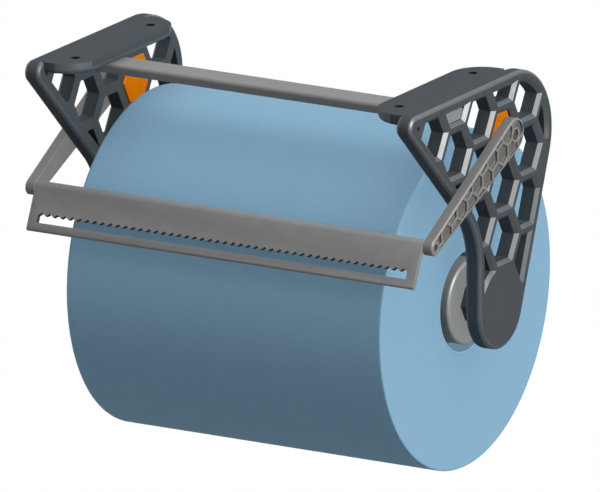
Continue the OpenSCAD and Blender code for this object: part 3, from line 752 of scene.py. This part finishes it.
def turned(node, name, outline, finish, around=96, axis=AXIS, **extras):
    """Turns an outline of (place along X, radius) points round an axis that runs along X."""
    mesh = bpy.data.meshes.new(name + "_outline")
    mesh.from_pydata([(x, r, 0) for x, r in outline], [], [])
    source = bpy.data.objects.new(name + "_outline", mesh)
    scene.collection.objects.link(source)
    spin = source.modifiers.new("lathe", "NODES")
    spin.node_group = lathe
    settings = {"Around": around, "Axis": (0.0, axis.y, axis.z), "Ply Relief": 0.0, "Seed": 7,
                "Knurl": 0.0, "Knurl From": 0.0, "Key Width": 0.0, "Key Depth": 0.0,
                "Key Face": 0.0, "Both Sides": False, "Finish": finish}
    settings.update({label.replace("_", " ").title(): value for label, value in extras.items()})
    set_inputs(spin, settings)
    piece = plain_mesh(source, name, [finish])
    piece.data.shade_smooth()
    piece.data.set_sharp_from_angle(angle=CREASE)
    stands_for(piece, node)


def right_part(node):
    """How far the right-hand half of an engineering node reaches along X."""
    places = [v.co.x for v in frame["nodes"][node].data.vertices if v.co.x > 0]
    return min(places), max(places)


def ring_outline(low, high, inner, outer, edge):
    """A ring's section: a rectangle with chamfered corners that ends where it starts."""
    return [(low, inner + edge), (low, outer - edge), (low + edge, outer), (high - edge, outer),
            (high, outer - edge), (high, inner + edge), (high - edge, inner), (low + edge, inner),
            (low, inner + edge)]


print("right-hand pivot screw, mm:", [round(x / MM, 1) for x in right_part("pivot_screws")])

# %% [markdown]
# ### Paper roll, card core and core rings
# The roll is the largest piece. Its ends get a row of points for each group of plies, and
# the ply relief lets each row lie up to a few hundredths of a millimetre deeper, so the
# end isn't a perfect plane. The card core and the printed rings that carry it are plain
# rings with broken edges.

# %% Roll and core
PLY_ROWS = 60
FACE_ROWS = 16
ROLL_EDGE = 0.8 * MM
CARD_WALL = 1.5 * MM
CARD_EDGE = 0.2 * MM
# The paper starts this far outside the card
FIRST_PLY = 0.05 * MM

tube_r = middle_and_radius("core_tube")[1]
inner_row = tube_r + FIRST_PLY
outer_row = ROLL_R - ROLL_EDGE
end_rows = [inner_row + (outer_row - inner_row) * i / PLY_ROWS for i in range(PLY_ROWS + 1)]
face_end = ROLL_HALF - ROLL_EDGE
# A row close to each edge keeps the smooth shading of the round edge off the long face
inner_end = face_end - ROLL_EDGE
inner_rows = [inner_end * (1 - 2 * i / FACE_ROWS) for i in range(FACE_ROWS + 1)]
# The middle of a round edge lies 0.3 of its radius in from where its two faces would meet
round_in = 0.3 * ROLL_EDGE
roll_outline = (
    [(ROLL_HALF, r) for r in end_rows]
    + [(ROLL_HALF - round_in, ROLL_R - round_in)]
    + [(x, ROLL_R) for x in [face_end] + inner_rows + [-face_end]]
    + [(round_in - ROLL_HALF, ROLL_R - round_in)]
    + [(-ROLL_HALF, r) for r in reversed(end_rows)]
    + [(ROLL_HALF, inner_row)]
)
turned("paper_roll", "wound_paper_roll", roll_outline, blue_tissue, around=240, ply_relief=0.04 * MM)
# The card's paler blue is painted light
turned("core_tube", "card_core",
       ring_outline(-ROLL_HALF, ROLL_HALF, tube_r - CARD_WALL, tube_r, CARD_EDGE),
       blue_card_lightened, around=144)

# %% Core rings
CORE_RING_EDGE = 0.4 * MM
# The ring's bore, which turns on the hub
SEAT_R = 20.08 * MM

near, far = right_part("right_core_ring")
ring_r = middle_and_radius("right_core_ring")[1]
for side, low, high in (("right", near, far), ("left", -far, -near)):
    turned(side + "_core_ring", side + "_core_seat_ring",
           ring_outline(low, high, SEAT_R, ring_r, CORE_RING_EDGE), slate_petg[1], around=144)

# %% [markdown]
# ### Screws
# A button-head screw has a domed head with a six-sided socket and a threaded shank. The
# thread's V grooves are drawn as rings of the true pitch, which look the same as the
# helix at this size. The arms' screws point inwards from the outside. The hub screws are
# put in from the middle of the roll, so their heads look the other way.

# %% Screws
# The flat middle of a head as a share of its width, and the dome as a share of its height
HEAD_FLAT = 0.5
HEAD_DOME = 0.6
# A metric thread's groove is 0.54 of its pitch deep, and a screw's tip tapers over 0.4 of it
GROOVE = 0.54
TAPER = 0.4


def screw_outline(face, into, head_r, head_h, shank_r, end, pitch):
    """Half a screw from the middle of its head, along the direction into, to its tip."""
    angles = [math.radians(a) for a in (0, 30, 60, 90)]
    dome = [(face + into * head_h * HEAD_DOME * (1 - math.cos(a)),
             head_r * (HEAD_FLAT + (1 - HEAD_FLAT) * math.sin(a))) for a in angles]
    neck = face + into * head_h
    half_turns = int(abs(end - neck) / (pitch / 2)) - 2
    groove = GROOVE * pitch
    thread = [(neck + into * (i + 1) * pitch / 2, shank_r - groove * (i % 2)) for i in range(half_turns)]
    return ([(face, 0.0)] + dome + [(neck, head_r), (neck, shank_r)] + thread
            + [(end - into * TAPER * pitch, shank_r - groove), (end, shank_r - 2 * groove), (end, 0.0)])


def screw_pair(node, name, head_h, shank_r, pitch, key, from_middle=False):
    """A screw on each side, as long and as wide as its engineering node."""
    low, high = right_part(node)
    face, end, into = (low, high, 1) if from_middle else (high, low, -1)
    middle, head_r = middle_and_radius(node)
    turned(node, name, screw_outline(face, into, head_r, head_h, shank_r, end, pitch), zinc_steel,
           around=36, axis=middle, key_width=key, key_depth=head_h / 2, key_face=face, both_sides=True)


screw_pair("pivot_screws", "pivot_button_screws",
           head_h=1.5 * MM, shank_r=1.5 * MM, pitch=0.5 * MM, key=2.0 * MM)
screw_pair("cutter_screws", "tear_bar_button_screws",
           head_h=1.3 * MM, shank_r=1.0 * MM, pitch=0.4 * MM, key=1.5 * MM)
screw_pair("hub_screws", "hub_button_screws",
           head_h=2.8 * MM, shank_r=2.0 * MM, pitch=0.7 * MM, key=3.0 * MM, from_middle=True)

# %% [markdown]
# ### Spacers, washers and inserts
# The spacers and washers are rings with broken edges. A heat-set insert has a straight
# knurl in two bands with a groove between them, which holds it in the plastic.

# %% Spacers, washers and inserts
def ring_pair(node, name, bore_r, edge, finish):
    """A chamfered ring on each side, as long and as wide as its engineering node."""
    low, high = right_part(node)
    middle, outer = middle_and_radius(node)
    turned(node, name, ring_outline(low, high, bore_r, outer, edge), finish,
           around=64, axis=middle, both_sides=True)


def insert_pair(node, name, bore_r):
    """A knurled insert on each side, with a groove round its middle."""
    low, high = right_part(node)
    middle, outer = middle_and_radius(node)
    centre = (low + high) / 2
    groove = 0.4 * MM
    lead = 0.3 * MM
    outline = [(low, bore_r), (low, outer - lead), (low + lead, outer), (centre - groove, outer),
               (centre - groove, outer - groove), (centre + groove, outer - groove),
               (centre + groove, outer), (high - lead, outer), (high, outer - lead), (high, bore_r),
               (low, bore_r)]
    turned(node, name, outline, knurled_brass, around=48, axis=middle, knurl=0.2 * MM,
           knurl_from=outer - 0.1 * MM, both_sides=True)


M3_BORE_R = 1.55 * MM
M4_BORE_R = 2.05 * MM
ring_pair("pivot_spacers", "turned_spacers", M3_BORE_R, edge=0.25 * MM, finish=turned_aluminium)
ring_pair("hub_washers", "hub_flat_washers", M4_BORE_R, edge=0.12 * MM, finish=zinc_steel)
insert_pair("pivot_inserts", "pivot_brass_inserts", M3_BORE_R)
insert_pair("hub_inserts", "hub_brass_inserts", M4_BORE_R)

# %% [markdown]
# ## Tear bar
# The tear bar is a printed plate with a round top that turns between the arms. Below the
# middle it has a long slot, and the slot's upper edge is a row of 48 V notches, whose
# points tear the paper. The bar itself is a section pushed along X: two arcs and the
# straight lines between them. The toothed slot repeats, so Geometry Nodes make it: a box
# has two columns for each tooth, every other column of its top is lifted by the height of
# a tooth, and the result is cut out of the bar. The tree also bores the two holes for
# the screws at its ends. The teeth stay crisp, because a tear bar with rounded teeth
# would not cut.

# %% Bar
TIP = middle_and_radius("cutter_screws")[0]
BAR_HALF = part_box("cutter")[1].x
BAR_LEAN = math.radians(24.4)
BAR_TOP_R = 3.8 * MM
BAR_FRONT = 4.6 * MM
PLATE = 3.1 * MM
PLATE_DROP = 25 * MM
BAR_EDGE = 0.3 * MM


def arc_points(centre, radius, start, turn, steps):
    """Points along an arc in the bar's own Y and Z, with angles in degrees."""
    angles = [math.radians(start + turn * i / steps) for i in range(steps + 1)]
    return [(centre[0] + radius * math.cos(a), centre[1] + radius * math.sin(a)) for a in angles]


foot = (PLATE / 2 - BAR_FRONT, PLATE / 2 - PLATE_DROP)
top = (BAR_TOP_R - BAR_FRONT, 0)
back = PLATE - BAR_TOP_R
meets = math.degrees(math.atan2(-math.sqrt(BAR_TOP_R ** 2 - back ** 2), back))
section = (arc_points(foot, PLATE / 2, start=180, turn=180, steps=16)
           + arc_points(top, BAR_TOP_R, start=meets, turn=180 - meets, steps=44))
work = bmesh.new()
end_face = work.faces.new([work.verts.new((-BAR_HALF, y, z)) for y, z in section])
grown = bmesh.ops.extrude_face_region(work, geom=[end_face])
new_verts = [item for item in grown["geom"] if isinstance(item, bmesh.types.BMVert)]
bmesh.ops.translate(work, verts=new_verts, vec=(2 * BAR_HALF, 0, 0))
bmesh.ops.recalc_face_normals(work, faces=work.faces)
# Only the rims of the two ends turn by a right angle
rims = [rim for rim in work.edges if rim.calc_face_angle(0) > math.radians(80)]
bmesh.ops.bevel(work, geom=rims, offset=BAR_EDGE, segments=2, profile=0.5, affect="EDGES")
bar_mesh = bpy.data.meshes.new("tear_bar_plate")
work.to_mesh(bar_mesh)
work.free()
set_in_place = Matrix.Translation(TIP) @ Matrix.Rotation(-BAR_LEAN, 4, "X")
bar_mesh.transform(set_in_place)
print("section points:", len(section), "bar is", round(2 * BAR_HALF / MM, 1), "mm long")

# %% Tooth tree: the toothed slot
toothing = new_tree("toothed_slot", {
    "Bar": "Geometry", "Notches": "Int", "Slot Length": "Float", "Slot Height": "Float",
    "Slot Middle": "Vector", "Tooth Height": "Float", "Cut": "Float", "Bore Radius": "Float",
    "Bore Depth": "Float", "Half Length": "Float", "Lean": "Float", "Tip": "Vector",
    "Finish": "Material",
})
given = add(toothing, "NodeGroupInput").outputs

# A box with two columns for each notch
twice = add(toothing, "FunctionNodeIntegerMath", {0: given["Notches"], 1: 2},
            operation="MULTIPLY").outputs[0]
columns = add(toothing, "FunctionNodeIntegerMath", {0: twice, 1: 1}, operation="ADD").outputs[0]
size = add(toothing, "ShaderNodeCombineXYZ", {
    0: given["Slot Length"], 1: given["Cut"], 2: given["Slot Height"],
}).outputs[0]
box = add(toothing, "GeometryNodeMeshCube", {"Size": size, "Vertices X": columns}).outputs[0]

# Lift every other column of the box's top
place = add(toothing, "GeometryNodeInputPosition").outputs[0]
part = add(toothing, "ShaderNodeSeparateXYZ", {0: place}).outputs
share = add(toothing, "ShaderNodeMath", {0: part["X"], 1: given["Slot Length"]},
            operation="DIVIDE").outputs[0]
share = add(toothing, "ShaderNodeMath", {0: share, 1: 0.5}, operation="ADD").outputs[0]
column = add(toothing, "ShaderNodeMath", {0: share, 1: twice}, operation="MULTIPLY").outputs[0]
column = add(toothing, "ShaderNodeMath", {0: column}, operation="ROUND").outputs[0]
odd = add(toothing, "ShaderNodeMath", {0: column, 1: 2.0}, operation="MODULO").outputs[0]
upper = add(toothing, "ShaderNodeMath", {0: part["Z"], 1: 0.0}, operation="GREATER_THAN").outputs[0]
lifted = add(toothing, "ShaderNodeMath", {0: odd, 1: upper}, operation="MULTIPLY").outputs[0]
lifted = add(toothing, "ShaderNodeMath", {0: lifted, 1: given["Tooth Height"]},
             operation="MULTIPLY").outputs[0]
lift = add(toothing, "ShaderNodeCombineXYZ", {2: lifted}).outputs[0]
slot = add(toothing, "GeometryNodeSetPosition", {"Geometry": box, "Offset": lift}).outputs[0]
slot = add(toothing, "GeometryNodeTransform", {
    "Geometry": slot, "Translation": given["Slot Middle"],
}).outputs[0]
print("tooth tree so far:", len(toothing.nodes), "nodes")

# %% Tooth tree: the bores and the cut
# A bore at each end, on the line that the bar turns about
start = add(toothing, "ShaderNodeMath", {0: given["Half Length"], 1: -1.0}, operation="MULTIPLY").outputs[0]
start = add(toothing, "ShaderNodeCombineXYZ", {0: start}).outputs[0]
step = add(toothing, "ShaderNodeMath", {0: given["Half Length"], 1: 2.0}, operation="MULTIPLY").outputs[0]
step = add(toothing, "ShaderNodeCombineXYZ", {0: step}).outputs[0]
ends = add(toothing, "GeometryNodeMeshLine", {
    "Count": 2, "Start Location": start, "Offset": step,
}).outputs[0]
length = add(toothing, "ShaderNodeMath", {0: given["Bore Depth"], 1: 2.0}, operation="MULTIPLY").outputs[0]
drill = add(toothing, "GeometryNodeMeshCylinder", {
    "Vertices": 24, "Radius": given["Bore Radius"], "Depth": length,
}).outputs[0]
drill = add(toothing, "GeometryNodeTransform", {
    "Geometry": drill, "Rotation": (0, math.radians(90), 0),
}).outputs[0]
drills = add(toothing, "GeometryNodeInstanceOnPoints", {"Points": ends, "Instance": drill}).outputs[0]
drills = add(toothing, "GeometryNodeRealizeInstances", {0: drills}).outputs[0]

# Turn the cutters to the bar's lean, move them to its tip and cut
cutters = add(toothing, "GeometryNodeJoinGeometry", {0: slot})
toothing.links.new(drills, cutters.inputs[0])
lean = add(toothing, "ShaderNodeMath", {0: given["Lean"], 1: -1.0}, operation="MULTIPLY").outputs[0]
lean = add(toothing, "ShaderNodeCombineXYZ", {0: lean}).outputs[0]
cutters = add(toothing, "GeometryNodeTransform", {
    "Geometry": cutters.outputs[0], "Translation": given["Tip"], "Rotation": lean,
}).outputs[0]
shape = add(toothing, "GeometryNodeMeshBoolean", {0: given["Bar"], 1: cutters},
            operation="DIFFERENCE", solver="EXACT").outputs[0]
finish_tree(toothing, shape, given["Finish"])
print("tooth tree:", len(toothing.nodes), "nodes")

# %% Toothed tear bar
NOTCHES = 48
TOOTH_H = 1.8 * MM
SLOT_TIP = 15.9 * MM
SLOT_H = 4.1 * MM
SLOT_END = 5.6 * MM

bar = bpy.data.objects.new("tear_bar_plate", bar_mesh)
scene.collection.objects.link(bar)
teeth = bar.modifiers.new("teeth", "NODES")
teeth.node_group = toothing
set_inputs(teeth, {
    "Notches": NOTCHES, "Slot Length": 2 * (BAR_HALF - SLOT_END), "Slot Height": SLOT_H,
    "Slot Middle": (0.0, PLATE / 2 - BAR_FRONT, -SLOT_TIP - SLOT_H / 2), "Tooth Height": TOOTH_H,
    "Cut": 3 * PLATE, "Bore Radius": 1.05 * MM, "Bore Depth": 5 * MM, "Half Length": BAR_HALF,
    "Lean": BAR_LEAN, "Tip": TIP, "Finish": bar_petg,
})
tear_bar = plain_mesh(bar, "toothed_tear_bar", [bar_petg, slot_shade_petg])

# The walls of the slot, found in the bar's own upright place, get their darker colour, which is painted
# shade
upright = set_in_place.inverted()
for face in tear_bar.data.polygons:
    spot = upright @ face.center
    level = upright.to_3x3() @ face.normal
    in_length = abs(spot.x) < BAR_HALF - SLOT_END + SLACK
    in_height = -SLOT_TIP - SLOT_H - SLACK < spot.z < TOOTH_H + SLACK - SLOT_TIP
    face.material_index = 1 if in_length and in_height and abs(level.y) < 0.5 else 0
tear_bar.data.shade_smooth()
tear_bar.data.set_sharp_from_angle(angle=CREASE)
stands_for(tear_bar, "cutter")

# %% [markdown]
# ## Finish
# The colours are shown as they are, without a film look.

# %% Finish
scene.view_settings.view_transform = "Standard"
